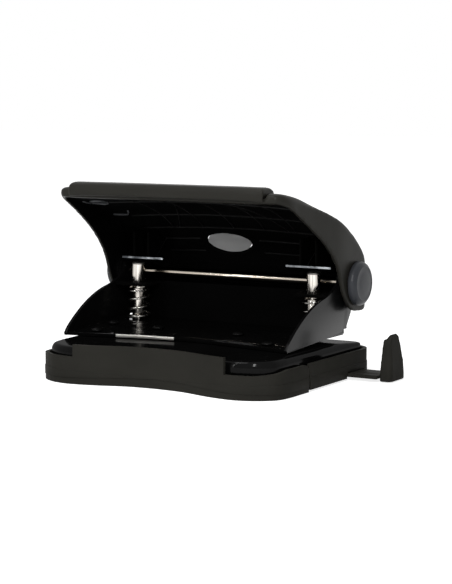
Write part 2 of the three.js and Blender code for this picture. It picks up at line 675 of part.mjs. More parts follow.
function handleGrip() {
  const section = [[lipY - 1.2, lipTopZ - 1.6], [lipY - 1.2, gripTopZ - 2.1], [lipY - 0.7, gripTopZ - 0.9],
    [lipY + 0.8, gripTopZ - 0.2], [lipY + 3.4, gripTopZ], [lipY + 6, gripTopZ - 0.5],
    [lipY + 7.6, gripTopZ - 1.7], [lipY + 8.3, gripTopZ - 3.3], [lipY + 8.4, lipTopZ - 2.3]]
    .reverse();
  const halfFace = arc([gripHalfWidth - gripCornerRadius, gripTopZ + 0.2 - gripCornerRadius],
    gripCornerRadius, 0, 80, 6);
  const face = extrudeY(mirrored([[gripHalfWidth, 50], ...halfFace]), -far, 0);
  const bar = common(face,
    toSolid(crowned(extruded(section, -gripHalfWidth - 1, gripHalfWidth + 1, alongX, 12))));
  const panel = common(handleForm(-gap - gripPanelThickness), box([-gripHalfWidth, gripHalfWidth],
    [-37, gripPanelEndY], [55, far]));
  return cut(join(bar, panel), handleForm(-gap));
}

function wearPlate() {
  const start = wearPlateFrontY;
  const end = wearPlateFrontY + wearPlateLength;
  return extrudeX([[start, wearPlateLine(start)], [end, wearPlateLine(end)],
    [end, wearPlateLine(end) + wearPlateThickness], [start, wearPlateLine(start) + wearPlateThickness]],
  0, wearPlateWidth);
}

// ---------------------------------------------------------------- paper guide

const tongueLength = 2.6;
const tongueHalfWidth = 3.2;

function guideBar() {
  const half = barWidth / 2;
  return extrudeZ([[barStartX, -half + 1.5], [barStartX + 1.5, -half], [barEndX, -half],
    [barEndX, -tongueHalfWidth], [barEndX + tongueLength, -tongueHalfWidth],
    [barEndX + tongueLength, tongueHalfWidth], [barEndX, tongueHalfWidth], [barEndX, half],
    [barStartX + 1.5, half], [barStartX, half - 1.5]], 0, barThickness);
}

// An upright plate that narrows towards a sloping top, with a low shoulder on its inner side.
function paperStop() {
  const base = barEndX + gap;
  const t = stopThickness;
  const along = (points) => points.map(([x, other]) => [base + x, other]);
  const rear = stopFrontY + stopLength;
  const plan = extrudeZ(along([[0, stopFrontY + 0.6], [0.5, stopFrontY], [t - 1.6, stopFrontY],
    [t - 0.7, stopFrontY + 0.4], [t - 0.1, stopFrontY + 1.3], [t, stopFrontY + 3], [t, rear - 3],
    [t - 0.5, rear - 1], [t - 1.8, rear], [0, rear]]), stopFloorGap, far);
  const front = extrudeY(along([[0, 0], [0, 3], [0.6, stopShoulderZ / 2], [1.5, stopShoulderZ],
    [2.3, stopShoulderZ + 0.1], [2.8, stopTopZ - 0.7], [3.4, stopTopZ], [t - 1.1, stopTopZ - 0.1],
    [t - 0.5, stopTopZ - 1.3], [t - 0.1, stopShoulderZ / 2], [t, 2], [t, 0]]), 0, far);
  const side = extrudeX([[stopFrontY - 0.1, 0], [rear, 0], [rear - 2.6, stopShoulderZ / 2],
    [rear - 5.4, stopShoulderZ], [rear - 5.9, stopTopZ - 0.8], [rear - 6.7, stopTopZ - 0.2],
    [rear - 7.8, far], [stopFrontY + 2.6, far], [stopFrontY + 2.2, stopTopZ - 0.2],
    [stopFrontY + 0.3, stopShoulderZ - 0.6], [stopFrontY, stopShoulderZ - 2]], base - 1, base + t + 1);
  const socket = box([barEndX, barEndX + tongueLength + gap],
    [barCentreY - tongueHalfWidth - gap, barCentreY + tongueHalfWidth + gap],
    [barBottomZ - gap, barBottomZ + barThickness + gap]);
  return cut(common(plan, front, side), socket);
}

// ---------------------------------------------------------------- assembly

place('base_skirt', baseSkirt(), greyBlackPlastic);
place('chip_flap', chipFlap(), greyBlackPlastic);
[[-1, 'left'], [1, 'right']].forEach(([side, hand]) => {
  place(`foot_front_${hand}`, foot(), blackRubber, [trayCentreX + side * footX, footFrontY, 0]);
  place(`foot_rear_${hand}`, foot(), blackRubber, [trayCentreX + side * footX, footRearY, 0]);
});
place('base_plate', basePlate(), glossBlackSteel);
place('frame', frame(), glossBlackSteel);
rivetSpots().forEach(([x, y], i) => place(`rivet_${i + 1}`, rivet(y), glossBlackSteel, [x, y, 0]));

[[-1, 'left'], [1, 'right']].forEach(([side, hand]) => {
  place(`punch_pin_${hand}`, pin(), nickel, [side * pinX, 0, 0]);
  place(`e_clip_${hand}`, eClip(), nickel, [side * pinX, 0, 0]);
  place(`return_spring_${hand}`, spring(), nickel, [side * pinX, 0, 0]);
  const cap = place(`pivot_cap_${hand}`, pivotCap(), capPlastic,
    [side * (earHalfWidth + gap), axleY, axleZ]);
  cap.rotation.y = side * Math.PI / 2;
  const plate = place(`wear_plate_${hand}`, wearPlate(), zinc);
  plate.position.x = side > 0 ? wearPlateInnerX : -wearPlateOuterX;
});
place('axle', axle(), nickel);
place('handle_shell', handleShell(), satinBlackPlastic);
place('handle_grip', handleGrip(), satinBlackPlastic);
place('oval_badge', ovalBadge(), badgeGrey);
place('guide_bar', guideBar(), greyBlackPlastic, [0, barCentreY, barBottomZ]);
place('paper_stop', paperStop(), greyBlackPlastic);

export default punch;
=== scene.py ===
"""Looks for the two-hole desk punch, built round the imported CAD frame. Metres, +Z up."""

import json
import math

import bmesh
import bpy
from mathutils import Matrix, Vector
from mathutils.bvhtree import BVHTree


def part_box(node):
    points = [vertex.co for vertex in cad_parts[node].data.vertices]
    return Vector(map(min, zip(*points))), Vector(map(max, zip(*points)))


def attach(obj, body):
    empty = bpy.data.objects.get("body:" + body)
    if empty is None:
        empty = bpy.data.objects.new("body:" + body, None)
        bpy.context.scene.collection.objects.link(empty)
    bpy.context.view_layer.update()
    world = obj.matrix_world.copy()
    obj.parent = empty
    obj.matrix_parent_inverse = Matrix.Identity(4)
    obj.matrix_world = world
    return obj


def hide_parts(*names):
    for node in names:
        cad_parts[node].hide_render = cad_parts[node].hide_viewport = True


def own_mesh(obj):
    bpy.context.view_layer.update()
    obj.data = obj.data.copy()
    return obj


MM = 0.001
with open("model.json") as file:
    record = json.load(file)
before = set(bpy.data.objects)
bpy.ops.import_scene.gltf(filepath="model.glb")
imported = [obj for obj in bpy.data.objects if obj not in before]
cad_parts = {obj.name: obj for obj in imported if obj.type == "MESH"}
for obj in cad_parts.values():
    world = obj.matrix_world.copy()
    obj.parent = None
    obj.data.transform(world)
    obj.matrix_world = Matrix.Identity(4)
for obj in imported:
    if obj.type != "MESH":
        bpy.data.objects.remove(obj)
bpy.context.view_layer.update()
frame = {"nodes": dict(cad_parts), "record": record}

SLOT_OF = {row["node"]: row["material_slot"] for row in frame["record"]["subparts"]}
BODY_OF = {node: body for body, members in frame["record"]["behaviour"]["bodies"].items()
           for node in members}
PIECES = {}


# ---------------------------------------------------------------- shader helpers


def new_material(name):
    """A new material, its nodes, its links and its main shader."""
    made = bpy.data.materials.new(name)
    made.use_nodes = True
    nodes = made.node_tree.nodes
    return made, nodes, made.node_tree.links, nodes["Principled BSDF"]


def add_noise(nodes, links, scale, detail, rough, fineness=(1, 1, 1)):
    """A noise in object space, as fine along each axis as fineness says."""
    place = nodes.new("ShaderNodeTexCoord")
    mapping = nodes.new("ShaderNodeMapping")
    mapping.inputs["Scale"].default_value = fineness
    noise = nodes.new("ShaderNodeTexNoise")
    noise.inputs["Scale"].default_value = scale
    noise.inputs["Detail"].default_value = detail
    noise.inputs["Roughness"].default_value = rough
    links.new(place.outputs["Object"], mapping.inputs["Vector"])
    links.new(mapping.outputs["Vector"], noise.inputs["Vector"])
    return noise.outputs["Fac"]


def vary(nodes, links, socket, source, span, values):
    """The socket goes from the first value to the last while the source crosses the span."""
    ramp = nodes.new("ShaderNodeValToRGB")
    for stop, place, value in zip(ramp.color_ramp.elements, span, values):
        stop.position = place
        stop.color = (*value, 1)
    links.new(source, ramp.inputs["Fac"])
    links.new(ramp.outputs["Color"], socket)


def grey(value):
    return (value, value, value)


def add_bump(nodes, links, shader, heights, depth, strength):
    """Fine relief on the shader, as deep as depth where the heights go from 0 to 1."""
    bump = nodes.new("ShaderNodeBump")
    bump.inputs["Strength"].default_value = strength
    bump.inputs["Distance"].default_value = depth
    links.new(heights, bump.inputs["Height"])
    links.new(bump.outputs["Normal"], shader.inputs["Normal"])


# ---------------------------------------------------------------- materials


GRAIN_DEPTH = 0.015 * MM
PEEL_DEPTH = 0.006 * MM
MARK_DEPTH = 0.003 * MM
DUST_DEPTH = 0.04 * MM
# The tint that metal takes at grazing angles.
METAL_RIM = (0.25, 0.24, 0.22, 1)


def moulded(name, colour, darker, roughness, specular):
    """Moulded plastic: fine spark-eroded grain, faint flow marks, slightly uneven gloss."""
    made, nodes, links, shader = new_material(name)
    flow = add_noise(nodes, links, scale=30, detail=3, rough=0.5, fineness=(1.0, 2.5, 2.5))
    vary(nodes, links, shader.inputs["Base Color"], flow, (0.3, 0.7), (darker, colour))
    patches = add_noise(nodes, links, scale=90, detail=5, rough=0.6)
    roughness_range = (grey(roughness - 0.04), grey(roughness + 0.05))
    vary(nodes, links, shader.inputs["Roughness"], patches, (0.3, 0.75), roughness_range)
    shader.inputs["Specular IOR Level"].default_value = specular
    grains = add_noise(nodes, links, scale=2400, detail=2, rough=0.5)
    add_bump(nodes, links, shader, grains, GRAIN_DEPTH, strength=0.35)
    return made


def enamelled(name, shade, gloss, roughness):
    """Stove enamel on sheet steel: a dark coat under a clear one, with a faint orange peel."""
    made, nodes, links, shader = new_material(name)
    cloud = add_noise(nodes, links, scale=60, detail=4, rough=0.5)
    vary(nodes, links, shader.inputs["Base Color"], cloud, (0.35, 0.7), (grey(shade * 0.7), grey(shade)))
    specks = add_noise(nodes, links, scale=900, detail=3, rough=0.6)
    vary(nodes, links, shader.inputs["Roughness"], specks, (0.6, 0.85), (grey(0.5), grey(0.7)))
    shader.inputs["Specular IOR Level"].default_value = 0
    shader.inputs["Coat Weight"].default_value = gloss
    shader.inputs["Coat Roughness"].default_value = roughness
    peel = add_noise(nodes, links, scale=260, detail=2, rough=0.4)
    add_bump(nodes, links, shader, peel, PEEL_DEPTH, strength=0.12)
    return made


def plated(name, colour, darker, roughness, fineness=(1, 1, 1), scale=500, span=(0.3, 0.75)):
    """Plated steel with dark rims, and with marks drawn out along an axis of small fineness; on the nickel
    they are so strong that they are painted reflection streaks too.
    """
    made, nodes, links, shader = new_material(name)
    shader.inputs["Metallic"].default_value = 1
    shader.inputs["Specular Tint"].default_value = METAL_RIM
    marks = add_noise(nodes, links, scale, detail=3, rough=0.6, fineness=fineness)
    vary(nodes, links, shader.inputs["Base Color"], marks, span, (darker, colour))
    roughness_range = (grey(roughness), grey(roughness + 0.12))
    vary(nodes, links, shader.inputs["Roughness"], marks, (0.3, 0.8), roughness_range)
    add_bump(nodes, links, shader, marks, MARK_DEPTH, strength=0.3)
    return made


def rubber(name):
    """Black rubber with a little dust."""
    made, nodes, links, shader = new_material(name)
    dust = add_noise(nodes, links, scale=300, detail=4, rough=0.6)
    vary(nodes, links, shader.inputs["Base Color"], dust, (0.4, 0.8), (grey(0.008), grey(0.022)))
    shader.inputs["Roughness"].default_value = 0.85
    add_bump(nodes, links, shader, dust, DUST_DEPTH, strength=0.5)
    return made


# The fineness of marks that run along X, and of longer ones.
MARKS_ALONG_X = (0.1, 1, 1)
LONG_MARKS_ALONG_X = (0.02, 1, 1)

MATERIALS = {
    "black_steel": enamelled("black_enamel", shade=0.004, gloss=0.1, roughness=0.2),
    "tray_plastic": moulded("tray_plastic", colour=(0.027, 0.0262, 0.0228),
                            darker=(0.021, 0.0204, 0.0178), roughness=0.5, specular=0.012),
    "handle_plastic": moulded("handle_plastic", colour=(0.0215, 0.0207, 0.0175),
                              darker=(0.0165, 0.0159, 0.0135), roughness=0.36, specular=0.075),
    "cap_plastic": moulded("cap_plastic", colour=(0.040, 0.043, 0.049),
                           darker=(0.032, 0.034, 0.039), roughness=0.35, specular=0.15),
    # Nickel: drawing marks along the pins, strong enough in light and dark to be painted reflection
    # streaks round them.
    "nickel": plated("nickel", colour=(0.80, 0.76, 0.70), darker=(0.10, 0.09, 0.08), roughness=0.12,
                     fineness=(1, 1, 0.02), scale=700, span=(0.36, 0.62)),
    "zinc": plated("zinc", colour=(0.36, 0.38, 0.40), darker=(0.05, 0.055, 0.06), roughness=0.3,
                   scale=120, span=(0.42, 0.6)),
    "badge_grey": moulded("badge_grey", colour=grey(0.72), darker=grey(0.50), roughness=0.4,
                          specular=0.4),
    "rubber": rubber("rubber"),
}
BASE_ENAMEL = enamelled("base_plate_enamel", shade=0.003, gloss=0.14, roughness=0.08)
SIDE_ENAMEL = enamelled("outer_side_enamel", shade=0.006, gloss=0.62, roughness=0.3)
FLOOR_ENAMEL = enamelled("frame_floor_enamel", shade=0.003, gloss=0.55, roughness=0.05)
SHEARED = enamelled("sheared_edge", shade=0.002, gloss=0.02, roughness=0.5)
# Painted shade: the handle's own plastic made near black and matt, laid on its inner faces.
PAINTED_SHADE_INSIDE = moulded("handle_inside_painted_shade", colour=grey(0.003), darker=grey(0.002), roughness=0.5,
                 specular=0.01)
RIBS = moulded("handle_ribs", colour=grey(0.016), darker=grey(0.008), roughness=0.4, specular=0.05)
PALE_MARK = moulded("raised_ring", colour=(0.10, 0.105, 0.11), darker=(0.08, 0.084, 0.09),
                    roughness=0.4, specular=0.3)
# A painted highlight: bright steel laid on a stretch of the frame floor's front edge.
PAINTED_HIGHLIGHT_STEEL = plated("edge_painted_highlight", colour=(0.62, 0.60, 0.56), darker=(0.4, 0.39, 0.37),
                    roughness=0.3, fineness=MARKS_ALONG_X)
# Painted shade: a dark copy of the pins' steel, laid on the top of each pin.
PIN_TOP_PAINTED_SHADE = plated("pin_top_shade_painted", colour=(0.16, 0.15, 0.14), darker=(0.10, 0.095, 0.09),
                    roughness=0.3, fineness=(4, 4, 1))
# Painted shade: a near-black copy of the zinc, laid on the wear plates but for their front edges.
WEAR_PLATE_PAINTED_SHADE = plated("zinc_painted_shade", colour=(0.030, 0.032, 0.034), darker=(0.018, 0.019, 0.020),
                   roughness=0.35, fineness=MARKS_ALONG_X)
WIRE = plated("spring_wire", colour=(0.55, 0.53, 0.50), darker=(0.32, 0.31, 0.29), roughness=0.2)
# The axle's steel, kept only on a front line, where it stands as a painted highlight.
AXLE_STEEL = plated("axle_steel", colour=(0.60, 0.54, 0.46), darker=(0.36, 0.32, 0.27),
                    roughness=0.14, fineness=LONG_MARKS_ALONG_X)
# Painted shade: a near-black copy of the axle's steel, laid on all of the axle but its front line.
AXLE_PAINTED_SHADE = plated("axle_shade_painted", colour=(0.020, 0.018, 0.016), darker=(0.010, 0.009, 0.008),
                     roughness=0.25, fineness=LONG_MARKS_ALONG_X)


# ---------------------------------------------------------------- piece helpers


# Points nearer than this are merged, and faces turned less than this become one.
SAME_POINT = 0.002 * MM
SAME_PLANE = math.radians(0.6)
# Edges turned more than this are rounded, in this many steps.
SHARP_EDGE = math.radians(28)
EDGE_SEGMENTS = 3
# How far one round of smoothing moves a point towards the middle of its neighbours.
EASING = 0.5


def link(obj):
    """The object, now in the scene."""
    bpy.context.scene.collection.objects.link(obj)
    return obj


def finished(obj, body, slot, material=None):
    """The object on its body and slot, in the slot's own material or in a special one."""
    obj.data.materials.clear()
    obj.data.materials.append(material or MATERIALS[slot])
    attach(obj, body)
    return obj


def merged_copy(node):
    """The CAD solid as one clean mesh: doubles merged and flat faces made whole again."""
    mesh = frame["nodes"][node].data.copy()
    edit = bmesh.new()
    edit.from_mesh(mesh)
    bmesh.ops.remove_doubles(edit, verts=edit.verts, dist=SAME_POINT)
    bmesh.ops.dissolve_limit(edit, angle_limit=SAME_PLANE, verts=edit.verts, edges=edit.edges)
    edit.normal_update()
    edit.to_mesh(mesh)
    edit.free()
    return mesh


def smooth_faces(mesh):
    mesh.polygons.foreach_set("use_smooth", [True] * len(mesh.polygons))


def applied(piece):
    """The piece with its modifiers made part of its mesh."""
    depsgraph = bpy.context.evaluated_depsgraph_get()
    mesh = bpy.data.meshes.new_from_object(piece.evaluated_get(depsgraph))
    piece.modifiers.clear()
    piece.data = mesh
    return piece


def add_easing(piece, rounds, group_name=""):
    """Smooths the piece this many times over: all of it, or only the group if one is named."""
    ease = piece.modifiers.new("ease", "SMOOTH")
    ease.factor = EASING
    ease.iterations = rounds
    ease.vertex_group = group_name


def tube(name, rings):
    """A smooth mesh over the rings of points, closed at both ends."""
    edit = bmesh.new()
    rows = [[edit.verts.new(point) for point in ring] for ring in rings]
    for first, second in zip(rows, rows[1:]):
        for k in range(len(first)):
            other = (k + 1) % len(first)
            edit.faces.new((first[k], first[other], second[other], second[k]))
    edit.faces.new(rows[0][::-1])
    edit.faces.new(rows[-1])
    bmesh.ops.recalc_face_normals(edit, faces=edit.faces)
    mesh = bpy.data.meshes.new(name)
    edit.to_mesh(mesh)
    edit.free()
    smooth_faces(mesh)
    return mesh


# ---------------------------------------------------------------- every CAD piece, with its edges finished


# How wide the rounding on the edges of each kind of piece is.
EDGE_OF_SLOT = {
    "black_steel": 0.25 * MM,
    "tray_plastic": 0.45 * MM,
    "handle_plastic": 0.6 * MM,
    "cap_plastic": 0.3 * MM,
    "nickel": 0.12 * MM,
    "zinc": 0.12 * MM,
    "badge_grey": 0.2 * MM,
    "rubber": 0.4 * MM,
}
# The pieces that are made again as a soft skin: the size of its cells, and how often it is smoothed.
SKINS = {
    "base_plate": (0.45 * MM, 9),
    "handle_shell": (0.4 * MM, 12),
    "handle_grip": (0.4 * MM, 10),
    "paper_stop": (0.3 * MM, 6),
}
SPRINGS = {"return_spring_left": "pin_left_slide", "return_spring_right": "pin_right_slide"}


def rounded(node, edge):
    """A finished piece from the node: its sharp edges rounded, its curved faces smooth."""
    piece = link(bpy.data.objects.new(node + "_piece", merged_copy(node)))
    smooth_faces(piece.data)
    bevel = piece.modifiers.new("edges", "BEVEL")
    bevel.width = edge
    bevel.segments = EDGE_SEGMENTS
    bevel.limit_method = "ANGLE"
    bevel.angle_limit = SHARP_EDGE
    bevel.use_clamp_overlap = True
    bevel.harden_normals = True
    bevel.miter_outer = "MITER_ARC"
    finished(piece, BODY_OF[node], SLOT_OF[node])
    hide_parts(node)
    return piece


def soft_skin(node, cell, rounds):
    """A finished piece from the node: made again as a fine even skin, which rounds its edges softly."""
    piece = link(bpy.data.objects.new(node + "_piece", merged_copy(node)))
    skin = piece.modifiers.new("skin", "REMESH")
    skin.mode = "VOXEL"
    skin.voxel_size = cell
    add_easing(piece, rounds)
    applied(piece)
    smooth_faces(piece.data)
    finished(piece, BODY_OF[node], SLOT_OF[node])
    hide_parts(node)
    return piece


def make_pieces():
    """Every node but the springs gets its piece."""
    for node in sorted(frame["nodes"]):
        if node in SKINS:
            PIECES[node] = soft_skin(node, *SKINS[node])
        elif node not in SPRINGS:
            PIECES[node] = rounded(node, EDGE_OF_SLOT[SLOT_OF[node]])


make_pieces()


# ---------------------------------------------------------------- the handle's soft edges and painted shade inside


# A point low under the handle's roof, from which slants are measured and rays are cast.
HEART = Vector((0, -25 * MM, 10 * MM))
# How near to the handle's widest point there a point counts as on an ear's outer face.
EAR_SKIN = 1.2 * MM
# How far back from its front edge the lip's corners are looked for.
LIP_DEPTH = 3 * MM
# How far off a face a ray starts, to miss the face itself.
OFF_THE_FACE = 0.5 * MM


def surface_of(node):
    """A tree for casting rays at the node's solid."""
    mesh = frame["nodes"][node].data
    return BVHTree.FromPolygons([v.co for v in mesh.vertices], [p.vertices[:] for p in mesh.polygons])


SHELL = surface_of("handle_shell")


def paint_shade_inside():
    """The handle's inner faces get painted shade, their plastic made near black: outwards along X, an ear
    is in their way.
    """
    mesh = PIECES["handle_shell"].data
    mesh.materials.append(PAINTED_SHADE_INSIDE)
    index = len(mesh.materials) - 1
    for face in mesh.polygons:
        start = face.center + face.normal * OFF_THE_FACE
        outwards = Vector((math.copysign(1, start.x), 0, 0))
        if SHELL.ray_cast(start, outwards)[0] is not None:
            face.material_index = index


def fade(off, soft_width):
    """1 up to soft_width off, and down to 0 at twice that."""
    return min(max(2 - off / soft_width, 0), 1)


def ease_by(node, weights, rounds):
    """Smooths the node's piece where its points have weight."""
    piece = PIECES[node]
    group = piece.vertex_groups.new(name="eased")
    for i, weight in enumerate(weights):
        if weight > 0:
            group.add([i], weight, "REPLACE")
    add_easing(piece, rounds, group.name)
    applied(piece)


def reach_from_heart(co):
    """Distance from the heart in the Y-Z plane, and the slant there in whole degrees."""
    y, z = co.y - HEART.y, co.z - HEART.z
    return math.hypot(y, z), round(math.degrees(math.atan2(y, z)))


def shoulder_weights(mesh, soft_width):
    """How much each point belongs to the handle's long shoulders, where its top meets its ears."""
    half_width, shoulder = {}, {}
    places = [(v.co, round(v.co.y / MM), *reach_from_heart(v.co)) for v in mesh.vertices]
    for co, row, _, _ in places:
        half_width[row] = max(half_width.get(row, 0), abs(co.x))
    for co, row, reach, slant in places:
        if abs(co.x) > half_width[row] - EAR_SKIN:
            shoulder[slant] = max(shoulder.get(slant, 0), reach)
    weights = []
    for co, row, reach, slant in places:
        inwards = half_width[row] - abs(co.x)
        below = max(shoulder.get(slant, 0) - reach, 0)
        weights.append(fade(inwards + below, soft_width) if slant in shoulder else 0)
    return weights


def round_shoulders(node, soft_width, rounds):
    """The long edges between the handle's top and its ears are rounded well over."""
    ease_by(node, shoulder_weights(PIECES[node].data, soft_width), rounds)


def round_corners(node, soft_width, rounds):
    """The two front corners of the handle's lip are rounded well over."""
    points = [v.co for v in PIECES[node].data.vertices]
    front_y = min(co.y for co in points)
    lip = [co for co in points if co.y < front_y + LIP_DEPTH]
    corner = Vector((max(co.x for co in lip), front_y, max(co.z for co in lip)))
    weights = [fade((Vector((abs(co.x), co.y, co.z)) - corner).length, soft_width) for co in points]
    ease_by(node, weights, rounds)


paint_shade_inside()
round_shoulders("handle_shell", soft_width=2.5 * MM, rounds=50)
round_corners("handle_shell", soft_width=5 * MM, rounds=60)


# ---------------------------------------------------------------- finishes, painted shade and painted highlights on some faces of a piece


# The least share of its normal along an axis, for a face that looks along it.
LOOKS_ALONG = 0.9
# The same for a face that looks to the front, and how far its normal may lean up or down.
LOOKS_FRONT = 0.8
FRONT_LEAN = 0.35

# How far in from the frame's sides its outer faces are looked for.
OUTER_SKIN = 0.6 * MM
# How far above the frame's underside its floor, and the floor's front edge, are looked for.
FLOOR_HEIGHT = 6 * MM
FRONT_EDGE_HEIGHT = 5 * MM
# Where along X the floor's front edge carries a painted highlight, bright as bare steel.
PAINTED_HIGHLIGHT_STRETCH = (-27.7 * MM, -3 * MM)
# How far down from its top each pin gets painted shade.
PAINTED_SHADE_DEPTH = 1.4 * MM
# The upward share of the normal along the painted highlight, the line on the axle that stays bright.
PAINTED_HIGHLIGHT_LINE = (0.05, 0.42)


def finish_faces(node, chosen, material, cuts=(), axis=(1, 0, 0)):
    """The faces that chosen(face) picks get the material, once the mesh is cut at places on the axis."""
    mesh = PIECES[node].data
    mesh.materials.append(material)
    index = len(mesh.materials) - 1
    edit = bmesh.new()
    edit.from_mesh(mesh)
    for place in cuts:
        everything = edit.verts[:] + edit.edges[:] + edit.faces[:]
        bmesh.ops.bisect_plane(edit, geom=everything, plane_co=Vector(axis) * place, plane_no=axis)
    for face in edit.faces:
        if chosen(face):
            face.material_index = index
    edit.to_mesh(mesh)
    edit.free()


def faces_front(face):
    return face.normal.y < -LOOKS_FRONT and abs(face.normal.z) < FRONT_LEAN


def finish_frame():
    """Glossy outer sides and floor, and matt sheared edges, but for a painted highlight along a stretch of
    the front edge.
    """
    low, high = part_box("frame")

    def faces_out(face):
        far_out = abs(face.calc_center_median().x) > high[0] - OUTER_SKIN
        return abs(face.normal.x) > LOOKS_ALONG and far_out

    def on_floor(face):
        return face.normal.z > LOOKS_ALONG and face.calc_center_median().z < low[2] + FLOOR_HEIGHT

    def on_painted_highlight_stretch(face):
        middle = face.calc_center_median()
        on_stretch = PAINTED_HIGHLIGHT_STRETCH[0] < middle.x < PAINTED_HIGHLIGHT_STRETCH[1]
        return faces_front(face) and on_stretch and middle.z < low[2] + FRONT_EDGE_HEIGHT

    finish_faces("frame", faces_out, SIDE_ENAMEL)
    finish_faces("frame", on_floor, FLOOR_ENAMEL)
    finish_faces("frame", faces_front, SHEARED)
    finish_faces("frame", on_painted_highlight_stretch, PAINTED_HIGHLIGHT_STEEL, cuts=PAINTED_HIGHLIGHT_STRETCH)


def paint_shade_on_wear_plates():
    """The wear plates get painted shade, a near-black copy of their zinc, but for their front edges."""
    for hand in ("left", "right"):
        finish_faces("wear_plate_" + hand, lambda face: not faces_front(face), WEAR_PLATE_PAINTED_SHADE)


def paint_shade_on_pin_tops():
    """The top of each pin, in the wear plate's shadow, gets painted shade: a dark copy of its steel."""
    for hand in ("left", "right"):
        pin = "punch_pin_" + hand
        ring_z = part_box(pin)[1][2] - PAINTED_SHADE_DEPTH

        def on_top(face):
            return face.calc_center_median().z > ring_z

        finish_faces(pin, on_top, PIN_TOP_PAINTED_SHADE, cuts=(ring_z,), axis=(0, 0, 1))


def paint_axle_shade_and_highlight():
    """The axle gets painted shade all round but for a painted highlight, a bright line along its front."""
    def off_the_painted_highlight(face):
        return face.normal.y > 0 or not PAINTED_HIGHLIGHT_LINE[0] < face.normal.z < PAINTED_HIGHLIGHT_LINE[1]

    PIECES["axle"].data.materials[0] = AXLE_STEEL
    finish_faces("axle", off_the_painted_highlight, AXLE_PAINTED_SHADE)


finish_frame()
paint_shade_on_wear_plates()
paint_shade_on_pin_tops()
paint_axle_shade_and_highlight()
PIECES["base_plate"].data.materials[0] = BASE_ENAMEL


# ---------------------------------------------------------------- return springs


SPRING_WIRE = 0.8 * MM
SPRING_TURNS = 3.8
SPRING_START = math.radians(120)
# The coil's radius at the foot and at the top.
SPRING_RADII = (4.45 * MM, 3.7 * MM)
# The share of the wire in the closed coil at each end, and how far the wire rises along it.
SPRING_CLOSED = 0.16
CLOSED_RISE = SPRING_WIRE * 1.05
SPRING_STEPS = 150
SPRING_SIDES = 12
# How far ahead and back along the wire, as a share of it, its direction is taken.
SPRING_LOOK = 0.002


def spring_centre(t, low_z, high_z):
    """The wire's centre at share t of its length: closed coils at both ends, open between them."""
    end_turns = min(t / SPRING_CLOSED, 1) + max((t - 1 + SPRING_CLOSED) / SPRING_CLOSED, 0)
    rise = min(max((t - SPRING_CLOSED) / (1 - 2 * SPRING_CLOSED), 0), 1)
    radius = SPRING_RADII[0] + (SPRING_RADII[1] - SPRING_RADII[0]) * t
    angle = SPRING_START + t * SPRING_TURNS * 2 * math.pi
    height = low_z + CLOSED_RISE * end_turns + (high_z - low_z - 2 * CLOSED_RISE) * rise
    return Vector((radius * math.cos(angle), radius * math.sin(angle), height))


def spring_rings(axis_x, low_z, high_z):
    """Rings of points round the wire's centre, from its foot to its top."""
    rings = []
    for i in range(SPRING_STEPS + 1):
        t = i / SPRING_STEPS
        here = spring_centre(t, low_z, high_z)
        ahead = spring_centre(min(t + SPRING_LOOK, 1), low_z, high_z)
        behind = spring_centre(max(t - SPRING_LOOK, 0), low_z, high_z)
        along = (ahead - behind).normalized()
        outwards = Vector((here.x, here.y, 0)).normalized()
        up = along.cross(outwards).normalized()
        outwards = up.cross(along)
        centre = here + Vector((axis_x, 0, 0))
        angles = [2 * math.pi * k / SPRING_SIDES for k in range(SPRING_SIDES)]
        rings.append([centre + SPRING_WIRE / 2 * (outwards * math.cos(a) + up * math.sin(a))
                      for a in angles])
    return rings


def spring_piece(node):
    """The spring's round wire, coiled from its foot to its top."""
    low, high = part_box(node)
    pin_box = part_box(node.replace("return_spring", "punch_pin"))
    axis_x = (pin_box[0][0] + pin_box[1][0]) / 2
    rings = spring_rings(axis_x, low[2] + SPRING_WIRE / 2, high[2] - SPRING_WIRE / 2)
    piece = link(bpy.data.objects.new(node + "_piece", tube(node + "_wire", rings)))
    finished(piece, BODY_OF[node], SLOT_OF[node], WIRE)
    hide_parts(node)
    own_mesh(piece)


for spring_node, slide in SPRINGS.items():
    spring_piece(spring_node)


# ---------------------------------------------------------------- mouldings inside the handle


# A spot on the roof is an x in millimetres and a slant, in degrees from straight up towards the rear.

# Long ribs: the slant, and the x where the rib starts and ends.
LONG_RIBS = ((4, -42, 42), (25, -42, 42), (36, -42, 42), (44, -38, -19), (51, -36, -19), (44, 8, 38),
             (51, 8, 36))
LONG_RIB_STEPS = 20
SHORT_RIBS_X = (-28, -14, 0, 14, 28)
SHORT_RIB_SLANTS = range(-6, 38, 6)
# Slanted ribs: the first spot, and the step to each of the next ones.
SLANTED_RIB_START = (12, 6)
SLANTED_RIB_STEP = (2.2, 5)
SLANTED_RIB_SPOTS = 7
# The ring's middle, its reach from there in x and in slant, and the degrees between its spots.
RING_MIDDLE = (-44, 3.2)
RING_REACH = (3.2, 4)
RING_STEP = 15
BAR = ((-49.3, -1), (-49.3, 2), (-49.3, 5))
HOOK = ((-49, 22), (-46.5, 23), (-43, 23.5), (-41.5, 21.5), (-40.4, 19))

# Each bead's half width and height.
LONG_BEAD = (0.25 * MM, 0.5 * MM)
SHORT_BEAD = (0.25 * MM, 0.4 * MM)
SLANTED_BEAD = (0.2 * MM, 0.35 * MM)
RING_BEAD = (0.35 * MM, 0.6 * MM)
BAR_BEAD = (0.4 * MM, 0.6 * MM)
HOOK_BEAD = (0.3 * MM, 0.6 * MM)
# The bead's outline in half widths and heights, sunk a little into the roof.
BEAD_OUTLINE = ((1, -0.6), (1, 0.55), (0.55, 1), (-0.55, 1), (-1, 0.55), (-1, -0.6))


def under_roof(x, degrees):
    """The point and normal of the handle's inner skin, seen from its heart at this slant."""
    slant = math.radians(degrees)
    start = HEART + Vector((x, 0, 0))
    place, normal, _, _ = SHELL.ray_cast(start, Vector((0, math.sin(slant), math.cos(slant))))
    return place, normal.normalized()


